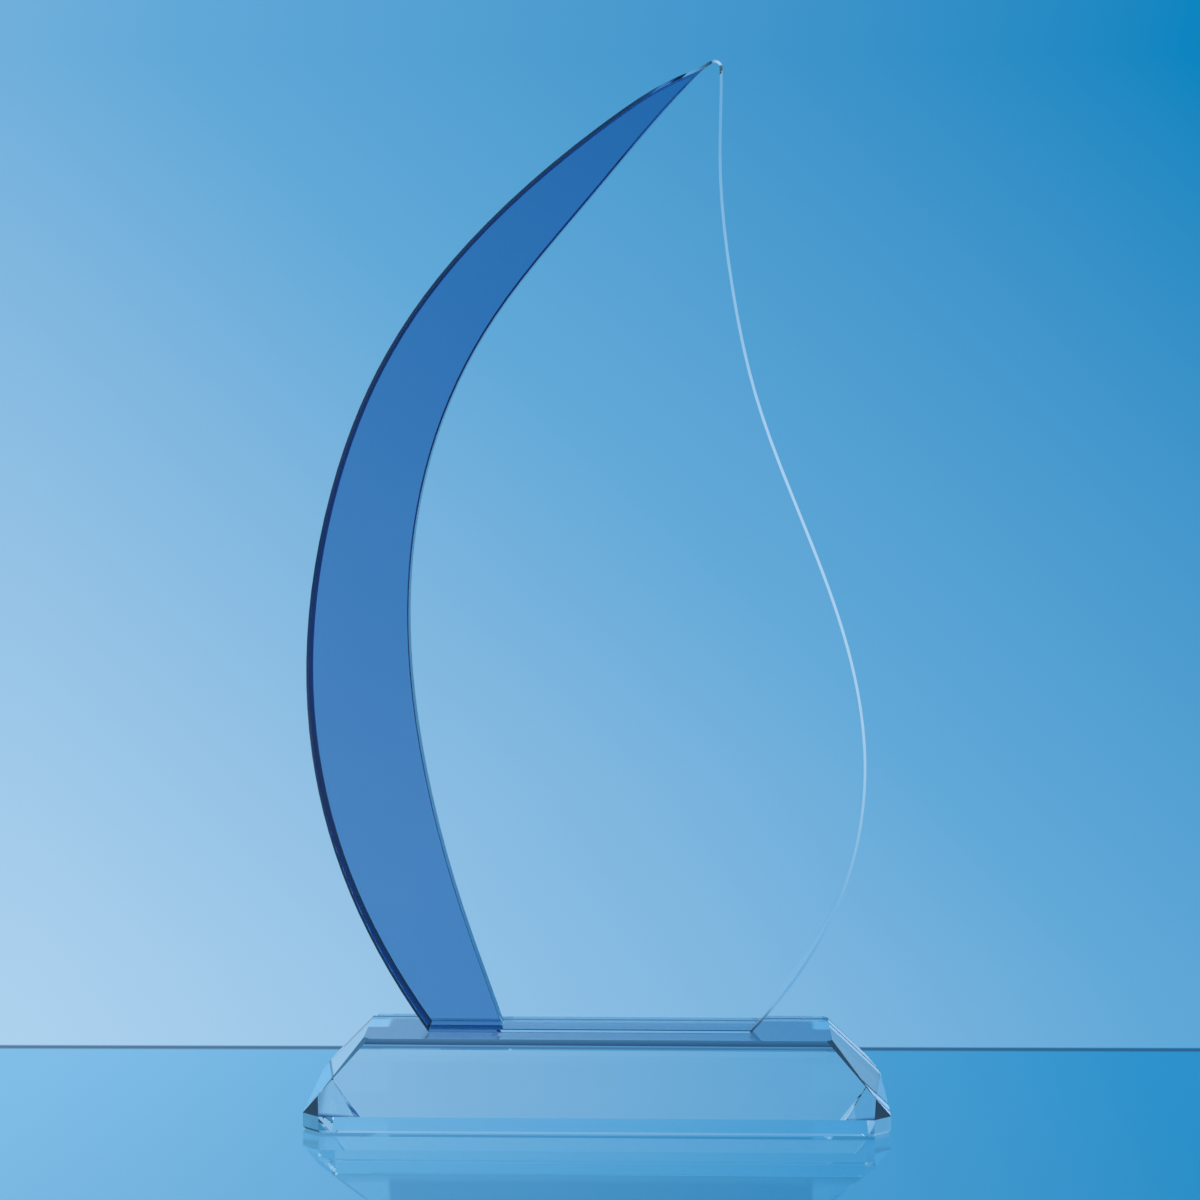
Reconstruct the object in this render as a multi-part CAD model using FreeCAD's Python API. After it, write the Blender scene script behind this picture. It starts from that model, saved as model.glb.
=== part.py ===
import FreeCAD, Part
import math
import os

from FreeCAD import Vector

# Crystal flame award. Millimetres, +Z up, front of the award towards -Y.
# Origin: centre of the underside of the base.

# Bevelled base block, the same bevel on all four sides
BASE_LENGTH = 141.0
BASE_DEPTH = 56.0
BASE_HEIGHT = 20.0
BEVEL_RUN = 13.7
LIP_HEIGHT = 4.0
FOOT_CHAMFER = 0.7
# Each corner is ground three ways: an upright cut in the lip, a leaning facet from the lip up to
# a point on the arris, and a sliver along the arris that widens from that point to the top
CORNER_CUT = 4.2
ARRIS_POINT_HEIGHT = 8.3
TOP_CORNER_CUT = 1.4

# Flat plates the flame is laminated from, and the clear adhesive between them. Only their
# outward faces are chamfered: the rims are ground flush across the joint.
PLATE_THICKNESS = 7.2
PLATE_CHAMFER = 0.7
BOND_THICKNESS = 0.1

# Rounded tip of the flame, and the directions from its centre that the edge passes through
TIP_CENTRE = (27.7, 253.3)
TIP_RADIUS = 1.9
TIP_ANGLES = [128, 114, 80, 46, 12, -3]

# Curves of the flame as (x, z): outer sweep and S-shaped edge run from foot to tip
OUTER_SWEEP = [
    (-41.6, 20.1), (-50.1, 33.2), (-59.9, 52.6), (-69.4, 87.0), (-70.6, 116.0), (-65.1, 150.2),
    (-54.4, 179.1), (-42.6, 198.3), (-21.0, 222.1), (4.4, 242.6), (18.6, 251.1),
]
S_EDGE = [
    (37.2, 20.1), (50.8, 37.3), (60.8, 58.1), (64.9, 87.5), (60.0, 116.6),
    (49.4, 145.6), (38.2, 175.4), (32.2, 202.8), (29.4, 232.0),
]
# Inner edge of the crescent, carried past the flame at both ends
INNER_SWEEP = [
    (-21.7, 15.0), (-26.9, 29.7), (-32.9, 47.0), (-43.0, 86.5), (-46.3, 121.0),
    (-38.8, 167.0), (-27.1, 191.1), (-1.9, 223.0), (17.2, 245.3), (32.0, 260.0),
]
# Generous block corners closing the crescent side of the inner sweep
SWEEP_CLEARANCE = 30.0


def at(x, z):
    return Vector(x, 0, z)


def bevel_halves(z):
    """Half length and half depth of the base at a level, with its corners whole."""
    run = BEVEL_RUN * max(0, z - LIP_HEIGHT) / (BASE_HEIGHT - LIP_HEIGHT)
    return BASE_LENGTH / 2 - run, BASE_DEPTH / 2 - run


def corner_ring(z):
    """The four corners at a level, anticlockwise from front left."""
    x, y = bevel_halves(z)
    return [Vector(-x, -y, z), Vector(x, -y, z), Vector(x, y, z), Vector(-x, y, z)]


def cut_ring(z, cut):
    """The eight points where the cut corners meet the sides, two per side, from the front round."""
    x, y = bevel_halves(z)
    places = [
        (cut - x, -y), (x - cut, -y), (x, cut - y), (x, y - cut),
        (x - cut, y), (cut - x, y), (-x, y - cut), (-x, cut - y),
    ]
    return [Vector(a, b, z) for a, b in places]


def polygon(points):
    return Part.Face(Part.makePolygon(points + points[:1]))


def edges_on_level(solid, z):
    return [edge for edge in solid.Edges if all(abs(v.Z - z) < 1e-6 for v in edge.Vertexes)]


def crystal_base():
    foot = cut_ring(0, CORNER_CUT)
    lip = cut_ring(LIP_HEIGHT, CORNER_CUT)
    point = corner_ring(ARRIS_POINT_HEIGHT)
    top = cut_ring(BASE_HEIGHT, TOP_CORNER_CUT)
    faces = [polygon(foot), polygon(top)]
    for i in range(8):
        j = (i + 1) % 8
        faces.append(polygon([foot[i], foot[j], lip[j], lip[i]]))
    for side in range(4):
        left = 2 * side
        right = left + 1
        after = (left + 2) % 8
        corner = point[(side + 1) % 4]
        faces.append(
            polygon([lip[left], lip[right], corner, top[right], top[left], point[side]])
        )
        faces.append(polygon([lip[right], lip[after], corner]))
        faces.append(polygon([corner, top[after], top[right]]))
    shell = Part.makeShell(faces)
    shell.sewShape()
    block = Part.makeSolid(shell)
    return block.makeChamfer(FOOT_CHAMFER, edges_on_level(block, 0))


def spline(points):
    curve = Part.BSplineCurve()
    curve.interpolate(Points=[at(x, z) for x, z in points])
    return curve.toShape()


def tip_points():
    angles = [math.radians(angle) for angle in TIP_ANGLES]
    x, z = TIP_CENTRE
    return [(x + TIP_RADIUS * math.cos(a), z + TIP_RADIUS * math.sin(a)) for a in angles]


def flame_outline():
    rim = spline(OUTER_SWEEP + tip_points() + S_EDGE[::-1])
    foot = Part.makeLine(at(*S_EDGE[0]), at(*OUTER_SWEEP[0]))
    return Part.Wire([rim, foot])


def crescent_side():
    sweep = spline(INNER_SWEEP)
    x_low, z_low = INNER_SWEEP[0]
    x_high, z_high = INNER_SWEEP[-1]
    x_far = min(x for x, _ in OUTER_SWEEP) - SWEEP_CLEARANCE
    z_far = z_high + SWEEP_CLEARANCE
    block = [(x_high, z_high), (x_high, z_far), (x_far, z_far), (x_far, z_low), (x_low, z_low)]
    closing = Part.makePolygon([at(x, z) for x, z in block])
    return Part.Wire([sweep] + closing.Edges)


def plate(outline, y_front, y_chamfered):
    """Flat plate with the given outline and a chamfer round its face at y_chamfered."""
    blank = outline.copy()
    blank.translate(Vector(0, y_front, 0))
    solid = Part.Face(blank).extrude(Vector(0, PLATE_THICKNESS, 0))
    rims = [
        edge
        for edge in solid.Edges
        if all(abs(v.Y - y_chamfered) < 1e-6 for v in edge.Vertexes)
    ]
    return solid.makeChamfer(PLATE_CHAMFER, rims)


def face_on(solid, axis, value):
    """The one flat face of the solid lying on the plane axis = value."""
    return next(
        face
        for face in solid.Faces
        if isinstance(face.Surface, Part.Plane)
        and all(abs(getattr(v, axis) - value) < 1e-6 for v in face.Vertexes)
    )


def foot_bond(panel, crescent):
    """Adhesive under both feet and under the film between them."""
    level = BASE_HEIGHT + BOND_THICKNESS
    panel_foot = face_on(panel, "Z", level).BoundBox
    crescent_foot = face_on(crescent, "Z", level).BoundBox
    drop = Vector(0, 0, BASE_HEIGHT)
    under_panel = Part.makeBox(
        panel_foot.XLength, panel_foot.YLength, BOND_THICKNESS,
        drop + Vector(panel_foot.XMin, panel_foot.YMin, 0),
    )
    under_crescent = Part.makeBox(
        crescent_foot.XLength, crescent_foot.YMax - panel_foot.YMin, BOND_THICKNESS,
        drop + Vector(crescent_foot.XMin, panel_foot.YMin, 0),
    )
    return under_panel.fuse(under_crescent).removeSplitter()


def main():
    half_bond = BOND_THICKNESS / 2
    front = -half_bond - PLATE_THICKNESS
    back = half_bond + PLATE_THICKNESS
    outline = flame_outline()
    panel = plate(outline, front, front)
    crescent = plate(outline, half_bond, back).common(plate(crescent_side(), half_bond, back))
    nodes = {
        "crystal_base": crystal_base(),
        "clear_flame_panel": panel,
        "cobalt_crescent": crescent,
        "crescent_bond_film": face_on(crescent, "Y", half_bond).extrude(
            Vector(0, -BOND_THICKNESS, 0)
        ),
        "foot_bond_film": foot_bond(panel, crescent),
    }
    os.makedirs("parts", exist_ok=True)
    for name, shape in nodes.items():
        shape.Solids[0].exportStep("parts/" + name + ".step")


main()
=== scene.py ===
import math

import bmesh
import bpy
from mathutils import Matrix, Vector
from mathutils.geometry import delaunay_2d_cdt, intersect_point_line


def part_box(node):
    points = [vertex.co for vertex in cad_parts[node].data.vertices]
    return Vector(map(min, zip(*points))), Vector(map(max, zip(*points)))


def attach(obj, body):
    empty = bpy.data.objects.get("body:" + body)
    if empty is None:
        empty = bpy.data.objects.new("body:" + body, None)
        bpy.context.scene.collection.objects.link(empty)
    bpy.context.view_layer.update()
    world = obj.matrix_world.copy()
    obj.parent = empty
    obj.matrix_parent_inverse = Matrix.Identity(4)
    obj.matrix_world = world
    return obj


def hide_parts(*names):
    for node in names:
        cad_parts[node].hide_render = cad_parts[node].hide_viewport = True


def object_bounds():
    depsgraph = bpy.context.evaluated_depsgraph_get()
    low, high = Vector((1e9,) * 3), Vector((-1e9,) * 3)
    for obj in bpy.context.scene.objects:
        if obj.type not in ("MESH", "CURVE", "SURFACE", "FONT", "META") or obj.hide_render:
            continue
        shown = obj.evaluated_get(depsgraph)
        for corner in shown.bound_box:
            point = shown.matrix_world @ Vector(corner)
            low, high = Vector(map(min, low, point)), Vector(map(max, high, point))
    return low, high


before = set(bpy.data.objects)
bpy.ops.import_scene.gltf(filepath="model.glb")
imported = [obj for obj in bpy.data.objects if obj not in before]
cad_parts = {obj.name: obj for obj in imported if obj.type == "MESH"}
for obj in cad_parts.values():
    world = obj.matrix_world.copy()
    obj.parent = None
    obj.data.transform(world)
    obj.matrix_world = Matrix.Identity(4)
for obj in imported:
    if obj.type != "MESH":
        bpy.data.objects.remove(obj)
cad_low, cad_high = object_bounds()

# Crystal flame award. Metres, the CAD frame: +Z up, front of the award towards -Y.

BODY = "root"
CRYSTAL_IOR = 1.52
BONDED_IOR = 1.0

# Two crystal faces with adhesive between them let light straight through, so a face of
# value 1 in this attribute neither bends nor mirrors light.
BONDED = "bonded"
# Bonded faces stand this far into the adhesive, so that no two faces share a plane
SEAT = 0.00001
ON_PLANE = 0.000002
# Two outlines this close together are one
ON_OUTLINE = 0.00005
# Points this close together are one when meshes are welded, sliced or triangulated
WELD_GAP = 1e-7
SLICE_GAP = 1e-8
TRIANGULATION_GAP = 1e-9
# Makes delaunay_2d_cdt return only the triangles within the outline
INSIDE_OUTLINE = 1
Y_AXIS = 1
Z_AXIS = 2
# Steepest turn between neighbouring facets that is still one smooth surface
SMOOTH_TURN = math.radians(20)

# Absorption inside cobalt crystal: colour that passes, and density per metre
COBALT_ABSORPTION = (0.04, 0.466, 0.75, 1.0)
COBALT_DENSITY = 225.0
# Tint of the cords in the glass, from strongest to none
CLEAR_STOPS = [(0.35, (0.985, 0.992, 0.996)), (0.65, (1.0, 1.0, 1.0))]
COBALT_STOPS = [(0.35, (0.955, 0.975, 0.99)), (0.65, (1.0, 1.0, 1.0))]
# Scale and detail of the noise behind each effect
CORD_NOISE = (22.0, 2.0)
HAZE_NOISE = (140.0, 4.0)
WAVE_NOISE = (60.0, 1.0)
ADHESIVE_NOISE = (90.0, 2.0)
# Polishing haze: where in the noise it begins and is fullest, and the roughness it reaches
HAZE_RANGE = (0.45, 0.75)
HAZE_ROUGHNESS = 0.012
WAVE_STRENGTH = 0.02
WAVE_HEIGHT = 0.0001


# ---------------------------------------------------------------- meshes

def copied_mesh(node):
    """The CAD node's mesh with its split corners welded."""
    bm = bmesh.new()
    bm.from_mesh(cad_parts[node].data)
    bmesh.ops.remove_doubles(bm, verts=bm.verts, dist=WELD_GAP)
    return bm


def faces_on(bm, axis, level):
    """Faces lying wholly on the plane axis = level."""
    return [
        face
        for face in bm.faces
        if all(abs(vert.co[axis] - level) < ON_PLANE for vert in face.verts)
    ]


def boundary_loop(faces):
    """Corners of the faces' outer edge, in order."""
    inside = set(faces)
    rim = {}
    for face in inside:
        for loop in face.loops:
            if not any(other in inside for other in loop.edge.link_faces if other is not face):
                rim[loop.vert] = loop.link_loop_next.vert
    start = next(iter(rim))
    ordered = [start]
    while rim[ordered[-1]] is not start:
        ordered.append(rim[ordered[-1]])
    return ordered


def point_in(polygon, x, z):
    """True if (x, z) is inside the closed polygon."""
    found = False
    for (x0, z0), (x1, z1) in zip(polygon, polygon[1:] + polygon[:1]):
        if (z0 > z) != (z1 > z) and x < x0 + (x1 - x0) * (z - z0) / (z1 - z0):
            found = not found
    return found


def shift_plane(bm, axis, level, by):
    """Moves the corners on the plane axis = level along that axis."""
    for vert in bm.verts:
        if abs(vert.co[axis] - level) < ON_PLANE:
            vert.co[axis] += by


def bond_mark(bm):
    """The layer that marks bonded faces, made if there is none."""
    return bm.faces.layers.float.get(BONDED) or bm.faces.layers.float.new(BONDED)


def mark_faces(bm, axis, level):
    layer = bond_mark(bm)
    for face in faces_on(bm, axis, level):
        face[layer] = 1.0


def finished_piece(bm, name, material, node):
    """The mesh as a smooth-shaded piece that stands for its CAD node."""
    bond_mark(bm)
    bm.normal_update()
    for face in bm.faces:
        face.smooth = True
    for edge in bm.edges:
        edge.smooth = len(edge.link_faces) == 2 and edge.calc_face_angle(math.pi) < SMOOTH_TURN
    mesh = bpy.data.meshes.new(name)
    bm.to_mesh(mesh)
    bm.free()
    piece = bpy.data.objects.new(name, mesh)
    bpy.context.scene.collection.objects.link(piece)
    mesh.materials.append(material)
    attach(piece, BODY)
    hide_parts(node)
    return piece


def gap_to(point, a, b):
    """Distance from the point to the line a-b, and how far along it the nearest place is."""
    _, share = intersect_point_line(point, a, b)
    share = min(max(share, 0.0), 1.0)
    return (a.lerp(b, share) - point).length, share


def flat_place(vert):
    """The corner's place in the plane of the plates, as (x, z)."""
    return Vector((vert.co.x, vert.co.z))


def outline_corner(faces, point):
    """The corner of the faces' outline at the point, made in the edge there if there is none."""
    rim = boundary_loop(faces)
    nearest = min(rim, key=lambda vert: (flat_place(vert) - point).length)
    if (flat_place(nearest) - point).length < ON_OUTLINE:
        return nearest
    sides = list(zip(rim, rim[1:] + rim[:1]))
    gaps = [gap_to(point, flat_place(a), flat_place(b)) for a, b in sides]
    at = min(range(len(sides)), key=lambda i: gaps[i][0])
    before, after = sides[at]
    edge = next(edge for edge in before.link_edges if after in edge.verts)
    return bmesh.utils.edge_split(edge, before, gaps[at][1])[1]


def split_along(bm, faces, polygon, level):
    """Re-cuts the flat faces on plane Y = level along the polygon's edge and marks the inside.

    The polygon shares part of its edge with the faces' outline, and crosses them along the rest.
    """
    corners = [Vector(corner) for corner in polygon]
    flat = [flat_place(vert) for vert in boundary_loop(faces)]
    sides = list(zip(flat, flat[1:] + flat[:1]))
    inner = [min(gap_to(corner, a, b)[0] for a, b in sides) > ON_OUTLINE for corner in corners]
    # The polygon's corners that cross the faces, in order, and where they meet the outline
    count = len(corners)
    start = next(i for i in range(count) if inner[i] and not inner[i - 1])
    chain = []
    step = start
    while inner[step % count]:
        chain.append(corners[step % count])
        step += 1
    ends = [outline_corner(faces, corners[i % count]) for i in (start - 1, step)]
    # The outline and the chain across it, triangulated
    rim = boundary_loop(faces)
    flat = [flat_place(vert) for vert in rim]
    points = flat + chain
    order = list(range(len(flat)))
    run = [rim.index(ends[0])] + list(range(len(flat), len(points))) + [rim.index(ends[1])]
    edges = list(zip(run, run[1:]))
    spots, _, cells, spot_ids, _, _ = delaunay_2d_cdt(
        points, edges, [order], INSIDE_OUTLINE, TRIANGULATION_GAP
    )
    bmesh.ops.delete(bm, geom=faces, context="FACES_ONLY")
    verts = []
    for spot, ids in zip(spots, spot_ids):
        known = [i for i in ids if i < len(rim)]
        verts.append(rim[known[0]] if known else bm.verts.new((spot.x, level, spot.y)))
    layer = bond_mark(bm)
    for cell in cells:
        face = bm.faces.new([verts[i] for i in cell])
        face.normal_update()
        if face.normal.y < 0:
            face.normal_flip()
        centre = sum((spots[i] for i in cell), Vector((0.0, 0.0))) / len(cell)
        face[layer] = 1.0 if point_in(polygon, centre.x, centre.y) else 0.0


def outline_of(node, axis, level):
    """The outline of a CAD node's face on the plane axis = level, as (x, z) pairs."""
    bm = copied_mesh(node)
    loop = boundary_loop(faces_on(bm, axis, level))
    outline = [(vert.co.x, vert.co.z) for vert in loop]
    bm.free()
    return outline


def foot_rectangle(node):
    """Lowest and highest x and y of a plate's flat foot."""
    bm = copied_mesh(node)
    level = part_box(node)[0].z
    spots = [vert.co for face in faces_on(bm, Z_AXIS, level) for vert in face.verts]
    found = (
        min(p.x for p in spots), max(p.x for p in spots),
        min(p.y for p in spots), max(p.y for p in spots),
    )
    bm.free()
    return found


# ---------------------------------------------------------------- materials

def new_material(name):
    material = bpy.data.materials.new(name)
    material.use_nodes = True
    nodes = material.node_tree.nodes
    nodes.clear()
    output = nodes.new("ShaderNodeOutputMaterial")
    shader = nodes.new("ShaderNodeBsdfPrincipled")
    material.node_tree.links.new(shader.outputs["BSDF"], output.inputs["Surface"])
    return material, material.node_tree, shader, output


def noise(tree, scale, detail, coordinate):
    node = tree.nodes.new("ShaderNodeTexNoise")
    node.inputs["Scale"].default_value = scale
    node.inputs["Detail"].default_value = detail
    tree.links.new(coordinate, node.inputs["Vector"])
    return node.outputs["Fac"]


def mapped(tree, value, low, high, to_low, to_high):
    node = tree.nodes.new("ShaderNodeMapRange")
    tree.links.new(value, node.inputs["Value"])
    node.inputs["From Min"].default_value = low
    node.inputs["From Max"].default_value = high
    node.inputs["To Min"].default_value = to_low
    node.inputs["To Max"].default_value = to_high
    return node.outputs["Result"]


def maths(tree, operation, a, b):
    node = tree.nodes.new("ShaderNodeMath")
    node.operation = operation
    for socket, value in zip(node.inputs, (a, b)):
        if isinstance(value, (int, float)):
            socket.default_value = value
        else:
            tree.links.new(value, socket)
    return node.outputs["Value"]


def ramp(tree, value, stops):
    node = tree.nodes.new("ShaderNodeValToRGB")
    elements = node.color_ramp.elements
    while len(elements) < len(stops):
        elements.new(0.5)
    for element, (position, colour) in zip(elements, stops):
        element.position = position
        element.color = (*colour, 1.0)
    tree.links.new(value, node.inputs["Fac"])
    return node.outputs["Color"]


def crystal(name, stops, absorption=None, density=0.0):
    """Polished optical crystal with faint cords, polishing haze and hairline surface waves."""
    material, tree, shader, output = new_material(name)
    place = tree.nodes.new("ShaderNodeTexCoord").outputs["Object"]
    bond = tree.nodes.new("ShaderNodeAttribute")
    bond.attribute_type = "GEOMETRY"
    bond.attribute_name = BONDED
    free = maths(tree, "SUBTRACT", 1.0, bond.outputs["Fac"])

    tint = ramp(tree, noise(tree, *CORD_NOISE, place), stops)
    tree.links.new(tint, shader.inputs["Base Color"])
    haze = mapped(tree, noise(tree, *HAZE_NOISE, place), *HAZE_RANGE, 0.0, HAZE_ROUGHNESS)
    tree.links.new(maths(tree, "MULTIPLY", haze, free), shader.inputs["Roughness"])
    index = mapped(tree, bond.outputs["Fac"], 0.0, 1.0, CRYSTAL_IOR, BONDED_IOR)
    tree.links.new(index, shader.inputs["IOR"])
    bump = tree.nodes.new("ShaderNodeBump")
    bump.inputs["Strength"].default_value = WAVE_STRENGTH
    bump.inputs["Distance"].default_value = WAVE_HEIGHT
    tree.links.new(noise(tree, *WAVE_NOISE, place), bump.inputs["Height"])
    tree.links.new(bump.outputs["Normal"], shader.inputs["Normal"])
    shader.inputs["Transmission Weight"].default_value = 1.0
    if absorption:
        inside = tree.nodes.new("ShaderNodeVolumeAbsorption")
        inside.inputs["Color"].default_value = absorption
        inside.inputs["Density"].default_value = density
        tree.links.new(inside.outputs["Volume"], output.inputs["Volume"])
    return material


def adhesive(name):
    """Clear cured adhesive, which like the bonded crystal faces bends no light."""
    material, tree, shader, _ = new_material(name)
    place = tree.nodes.new("ShaderNodeTexCoord").outputs["Object"]
    tint = ramp(tree, noise(tree, *ADHESIVE_NOISE, place), CLEAR_STOPS)
    tree.links.new(tint, shader.inputs["Base Color"])
    shader.inputs["Transmission Weight"].default_value = 1.0
    shader.inputs["Roughness"].default_value = 0.0
    shader.inputs["IOR"].default_value = BONDED_IOR
    return material


# ---------------------------------------------------------------- pieces

BASE = "crystal_base"
PANEL = "clear_flame_panel"
CRESCENT = "cobalt_crescent"
CRESCENT_BOND = "crescent_bond_film"
FOOT_BOND = "foot_bond_film"


def build_panel():
    bm = copied_mesh(PANEL)
    low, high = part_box(PANEL)
    bond_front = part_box(CRESCENT_BOND)[0].y
    film = outline_of(CRESCENT_BOND, Y_AXIS, bond_front)
    split_along(bm, faces_on(bm, Y_AXIS, high.y), film, high.y)
    mark_faces(bm, Z_AXIS, low.z)
    shift_plane(bm, Y_AXIS, high.y, SEAT)
    shift_plane(bm, Z_AXIS, low.z, -SEAT)
    material = crystal("clear_crystal", CLEAR_STOPS)
    return finished_piece(bm, "clear_flame_plate", material, PANEL)


def build_crescent():
    bm = copied_mesh(CRESCENT)
    low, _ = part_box(CRESCENT)
    mark_faces(bm, Y_AXIS, low.y)
    mark_faces(bm, Z_AXIS, low.z)
    shift_plane(bm, Y_AXIS, low.y, -SEAT)
    shift_plane(bm, Z_AXIS, low.z, -SEAT)
    material = crystal("cobalt_crystal", COBALT_STOPS, COBALT_ABSORPTION, COBALT_DENSITY)
    return finished_piece(bm, "cobalt_crescent_plate", material, CRESCENT)


def build_base():
    bm = copied_mesh(BASE)
    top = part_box(BASE)[1].z
    feet = [foot_rectangle(PANEL), foot_rectangle(CRESCENT)]
    for x_low, x_high, y_low, y_high in feet:
        for place, normal in (
            ((x_low, 0, 0), (1, 0, 0)), ((x_high, 0, 0), (1, 0, 0)),
            ((0, y_low, 0), (0, 1, 0)), ((0, y_high, 0), (0, 1, 0)),
        ):
            flat = faces_on(bm, Z_AXIS, top)
            edges = {edge for face in flat for edge in face.edges}
            bmesh.ops.bisect_plane(
                bm, geom=flat + list(edges), dist=SLICE_GAP, plane_co=place, plane_no=normal
            )
    layer = bond_mark(bm)
    for face in faces_on(bm, Z_AXIS, top):
        centre = face.calc_center_median()
        for x_low, x_high, y_low, y_high in feet:
            if x_low < centre.x < x_high and y_low < centre.y < y_high:
                face[layer] = 1.0
    many_sided = [face for face in bm.faces if len(face.verts) > 4]
    bmesh.ops.triangulate(bm, faces=many_sided)
    shift_plane(bm, Z_AXIS, top, SEAT)
    material = crystal("base_crystal", CLEAR_STOPS)
    return finished_piece(bm, "crystal_base_block", material, BASE)


def dress_adhesive():
    for node, name in ((CRESCENT_BOND, "crescent_adhesive"), (FOOT_BOND, "foot_adhesive")):
        material = adhesive(name)
        for material_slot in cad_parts[node].material_slots:
            material_slot.material = material


# ---------------------------------------------------------------- stage

# Colours of the backdrop from deep to pale, and how far along them it is in each direction:
# START plus a step across (by degrees to the right) plus a step up (by degrees above level)
DEEP_TO_PALE = [
    (0.0, (0.004, 0.235, 0.53)),
    (0.45, (0.117, 0.392, 0.686)),
    (1.0, (0.43, 0.65, 0.86)),
]
START = 0.47
STEP_LIMIT = 0.5
STEPS_ACROSS = [
    (-180, 0.20), (-60, 0.22), (-12, 0.32), (0, 0.0),
    (12, -0.32), (40, -0.10), (60, 0.18), (180, 0.20),
]
STEPS_UP = [(-90, 0.2), (-30, 0.24), (-12, 0.205), (5, -0.27), (12, 0.05), (60, 0.05)]
# Dark cards just outside the picture, which draw the dark lines in clear glass:
# degrees where each begins and ends, across and up, with soft borders
DARK_CARDS = [
    ((11.5, 15.0, 44.0, 52.0), (-30.0, -25.0, 40.0, 50.0)),
    ((-25.5, -22.5, -17.5, -15.0), (6.2, 7.2, 12.0, 15.0)),
    ((-22.0, -19.0, -15.5, -13.0), (20.0, 22.5, 32.0, 38.0)),
]
CARD_COLOUR = (0.006, 0.028, 0.065, 1.0)
CEILING_COLOUR = (0.012, 0.07, 0.16, 1.0)
# Degrees above level where the dark ceiling begins and is full
CEILING_RANGE = (52.0, 72.0)


def colour_mix(tree, share, first, second):
    node = tree.nodes.new("ShaderNodeMix")
    node.data_type = "RGBA"
    tree.links.new(share, node.inputs["Factor"])
    for name, value in (("A", first), ("B", second)):
        if isinstance(value, tuple):
            node.inputs[name].default_value = value
        else:
            tree.links.new(value, node.inputs[name])
    return node.outputs["Result"]


def degrees_of(tree, value):
    return maths(tree, "MULTIPLY", value, 180.0 / math.pi)


def stepped(tree, angle, steps):
    """Share from a list of (degrees, step), by way of a grey ramp centred on one half."""
    place = mapped(tree, angle, -180.0, 180.0, 0.0, 1.0)
    stops = [
        ((degrees + 180.0) / 360.0, (0.5 + step / (2 * STEP_LIMIT),) * 3)
        for degrees, step in steps
    ]
    grey = ramp(tree, place, stops)
    return mapped(tree, grey, 0.0, 1.0, -STEP_LIMIT, STEP_LIMIT)


def window(tree, value, start, full, fade, end):
    """One between full and fade, nothing before start and after end."""
    rise = mapped(tree, value, start, full, 0.0, 1.0)
    fall = mapped(tree, value, fade, end, 1.0, 0.0)
    return maths(tree, "MULTIPLY", rise, fall)


def make_world():
    world = bpy.data.worlds.new("studio")
    bpy.context.scene.world = world
    world.use_nodes = True
    tree = world.node_tree
    tree.nodes.clear()
    output = tree.nodes.new("ShaderNodeOutputWorld")
    background = tree.nodes.new("ShaderNodeBackground")
    tree.links.new(background.outputs["Background"], output.inputs["Surface"])
    split = tree.nodes.new("ShaderNodeSeparateXYZ")
    tree.links.new(tree.nodes.new("ShaderNodeTexCoord").outputs["Generated"], split.inputs[0])
    across = degrees_of(tree, maths(tree, "ARCTAN2", split.outputs["X"], split.outputs["Y"]))
    above = degrees_of(tree, maths(tree, "ARCSINE", split.outputs["Z"], 0.0))
    steps = maths(
        tree, "ADD", stepped(tree, across, STEPS_ACROSS), stepped(tree, above, STEPS_UP)
    )
    colour = ramp(tree, maths(tree, "ADD", steps, START), DEEP_TO_PALE)
    for across_range, above_range in DARK_CARDS:
        card = maths(
            tree, "MULTIPLY",
            window(tree, across, *across_range), window(tree, above, *above_range),
        )
        colour = colour_mix(tree, card, colour, CARD_COLOUR)
    ceiling = mapped(tree, above, *CEILING_RANGE, 0.0, 1.0)
    colour = colour_mix(tree, ceiling, colour, CEILING_COLOUR)
    tree.links.new(colour, background.inputs["Color"])


FLOOR_RADIUS = 1.2
FLOOR_SEGMENTS = 96
# The table lies this far under the base, so that the two share no plane
FLOOR_DROP = 0.00002
# Painted light: the table glows paler on the left and deeper on the right, from TABLE_SPAN left
# of the middle to TABLE_SPAN right of it
TABLE_SPAN = 0.14
TABLE_GLOW_LEFT = (0.14, 0.40, 0.64, 1.0)
TABLE_GLOW_RIGHT = (0.0, 0.21, 0.46, 1.0)
TABLE_GLOW_STRENGTH = 0.8
TABLE_DIFFUSE = (0.02, 0.06, 0.10, 1.0)
TABLE_ROUGHNESS = 0.02
# The table fades out between these distances, into the backdrop's pale light
TABLE_FADE = (0.20, 0.55)
# Dark line along the table's back edge: y of its middle at x = 0, its slope, and where across it
# the dark begins, is full, fades and ends. The table stops between the two distances of EDGE_END.
EDGE_PLACE = 0.0655
EDGE_SLOPE = 0.0147
EDGE_LINE = (-0.003, -0.001, 0.001, 0.0026)
EDGE_END = (0.002, 0.003)
EDGE_COLOUR = (0.0, 0.0, 0.04, 1.0)
# All the shading round the base ends between these distances left and right of the middle
SHADE_X = (0.063, 0.068)
# Shade under the base
UNDER_Y = (0.000, 0.004, 0.024, 0.027)
UNDER_COLOUR = (0.0, 0.05, 0.24, 1.0)
# Light under the two ends of the base, beyond these distances from the middle
END_X = (0.0528, 0.0538)
END_Y = (0.0150, 0.0165, 0.024, 0.027)
END_LEFT = (0.26, 0.56, 0.86, 1.0)
END_RIGHT = (0.12, 0.42, 0.76, 1.0)
# Painted contact shadow: a darker strip where the base meets the table behind
CONTACT_SHADOW_Y = (0.0265, 0.0275, 0.0292, 0.0335)
CONTACT_SHADOW_COLOUR = (0.0, 0.02, 0.10, 1.0)


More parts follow.
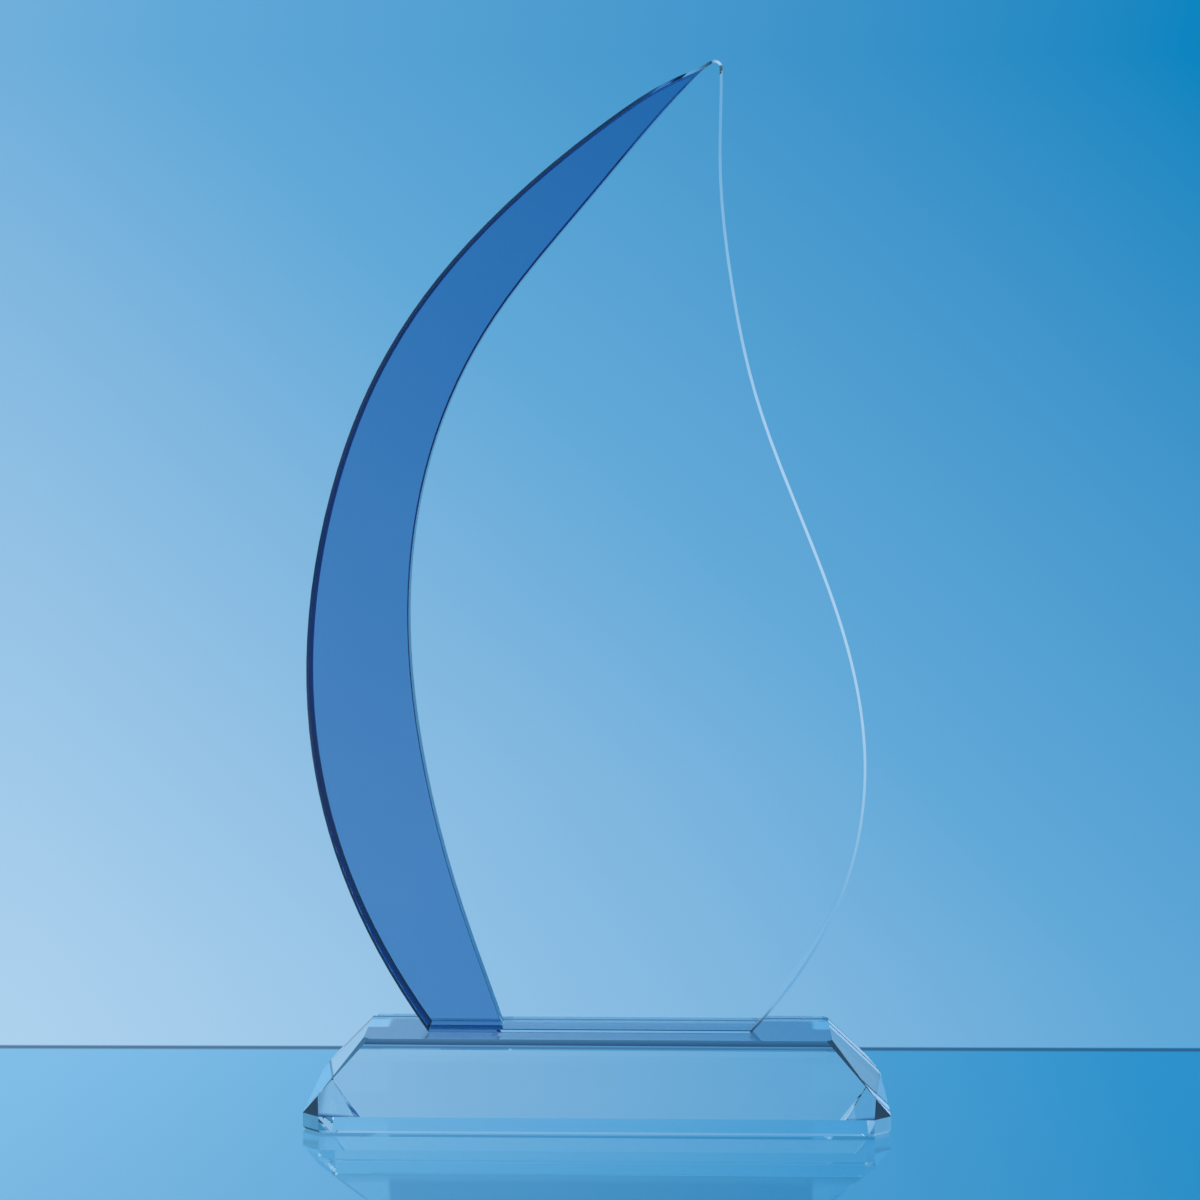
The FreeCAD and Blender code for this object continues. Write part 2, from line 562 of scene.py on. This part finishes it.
def make_floor():
    bm = bmesh.new()
    bmesh.ops.create_circle(bm, cap_ends=True, radius=FLOOR_RADIUS, segments=FLOOR_SEGMENTS)
    mesh = bpy.data.meshes.new("studio_floor")
    bm.to_mesh(mesh)
    bm.free()
    floor = bpy.data.objects.new("studio_floor", mesh)
    bpy.context.scene.collection.objects.link(floor)
    floor.location = (0, 0, cad_low.z - FLOOR_DROP)
    material, tree, shader, output = new_material("floor_sheet")
    place = tree.nodes.new("ShaderNodeTexCoord").outputs["Object"]
    split = tree.nodes.new("ShaderNodeSeparateXYZ")
    tree.links.new(place, split.inputs[0])
    x, y = split.outputs["X"], split.outputs["Y"]
    from_middle = maths(tree, "ABSOLUTE", x, 0.0)
    slope = maths(tree, "MULTIPLY", x, EDGE_SLOPE)
    to_edge = maths(tree, "SUBTRACT", maths(tree, "SUBTRACT", y, EDGE_PLACE), slope)

    # Painted light: the table's glow, paler on the left and deeper on the right
    across = mapped(tree, x, -TABLE_SPAN, TABLE_SPAN, 0.0, 1.0)
    colour = colour_mix(tree, across, TABLE_GLOW_LEFT, TABLE_GLOW_RIGHT)
    whole = mapped(tree, from_middle, *SHADE_X, 1.0, 0.0)
    under = maths(tree, "MULTIPLY", whole, window(tree, y, *UNDER_Y))
    colour = colour_mix(tree, under, colour, UNDER_COLOUR)
    beyond = mapped(tree, from_middle, *END_X, 0.0, 1.0)
    end = maths(tree, "MULTIPLY", beyond, window(tree, y, *END_Y))
    left_to_right = mapped(tree, x, -END_X[0], END_X[0], 0.0, 1.0)
    end_colour = colour_mix(tree, left_to_right, END_LEFT, END_RIGHT)
    colour = colour_mix(tree, maths(tree, "MULTIPLY", end, whole), colour, end_colour)
    # Painted contact shadow on the table just behind the base
    contact_shadow = maths(tree, "MULTIPLY", whole, window(tree, y, *CONTACT_SHADOW_Y))
    colour = colour_mix(tree, contact_shadow, colour, CONTACT_SHADOW_COLOUR)
    colour = colour_mix(tree, window(tree, to_edge, *EDGE_LINE), colour, EDGE_COLOUR)
    # The table gives off all these colours as its glow: painted light and shade, with the dark
    # edge line
    tree.links.new(colour, shader.inputs["Emission Color"])
    shader.inputs["Emission Strength"].default_value = TABLE_GLOW_STRENGTH
    shader.inputs["Base Color"].default_value = TABLE_DIFFUSE
    shader.inputs["Roughness"].default_value = TABLE_ROUGHNESS
    distance = tree.nodes.new("ShaderNodeVectorMath")
    distance.operation = "LENGTH"
    tree.links.new(place, distance.inputs[0])
    clear = tree.nodes.new("ShaderNodeBsdfTransparent")
    mix = tree.nodes.new("ShaderNodeMixShader")
    faded = maths(
        tree, "MAXIMUM",
        mapped(tree, distance.outputs["Value"], *TABLE_FADE, 0.0, 1.0),
        mapped(tree, to_edge, *EDGE_END, 0.0, 1.0),
    )
    tree.links.new(faded, mix.inputs["Fac"])
    tree.links.new(shader.outputs["BSDF"], mix.inputs[1])
    tree.links.new(clear.outputs["BSDF"], mix.inputs[2])
    tree.links.new(mix.outputs["Shader"], output.inputs["Surface"])
    mesh.materials.append(material)


SOFTBOX_PLACE = (-0.9, -0.6, 0.9)
SOFTBOX_SIZE = 1.0
SOFTBOX_POWER = 1.5


def make_softbox():
    """One large weak lamp, front left, aimed at the middle of the award."""
    light = bpy.data.lights.new("left_softbox", "AREA")
    light.shape = "RECTANGLE"
    light.size = SOFTBOX_SIZE
    light.size_y = SOFTBOX_SIZE
    light.energy = SOFTBOX_POWER
    lamp = bpy.data.objects.new("left_softbox", light)
    bpy.context.scene.collection.objects.link(lamp)
    lamp.visible_camera = False
    lamp.location = SOFTBOX_PLACE
    lamp.rotation_mode = "QUATERNION"
    aim = (cad_low + cad_high) / 2 - Vector(SOFTBOX_PLACE)
    lamp.rotation_quaternion = aim.to_track_quat("-Z", "Y")


CAMERA_PLACE = (0.02172, -0.81052, 0.19706)
CAMERA_YAW = math.radians(1.517)
CAMERA_PITCH = math.radians(5.038)
CAMERA_LENS = 100.316
CAMERA_SENSOR = 36.0
CAMERA_CLIP = (0.01, 20.0)


def make_camera():
    camera = bpy.data.cameras.new("camera")
    camera.lens = CAMERA_LENS
    camera.sensor_width = CAMERA_SENSOR
    camera.clip_start, camera.clip_end = CAMERA_CLIP
    viewer = bpy.data.objects.new("camera", camera)
    bpy.context.scene.collection.objects.link(viewer)
    viewer.location = CAMERA_PLACE
    forward = Vector((
        -math.sin(CAMERA_YAW) * math.cos(CAMERA_PITCH),
        math.cos(CAMERA_YAW) * math.cos(CAMERA_PITCH),
        -math.sin(CAMERA_PITCH),
    ))
    viewer.rotation_mode = "QUATERNION"
    viewer.rotation_quaternion = forward.to_track_quat("-Z", "Y")
    bpy.context.scene.camera = viewer


def set_light_paths():
    """Enough bounces for light to find its way through the base and back."""
    scene = bpy.context.scene
    scene.view_settings.view_transform = "Standard"
    scene.cycles.max_bounces = 32
    scene.cycles.transmission_bounces = 28
    scene.cycles.glossy_bounces = 20
    scene.cycles.transparent_max_bounces = 24


build_base()
build_panel()
build_crescent()
dress_adhesive()
make_world()
make_floor()
make_softbox()
make_camera()
set_light_paths()
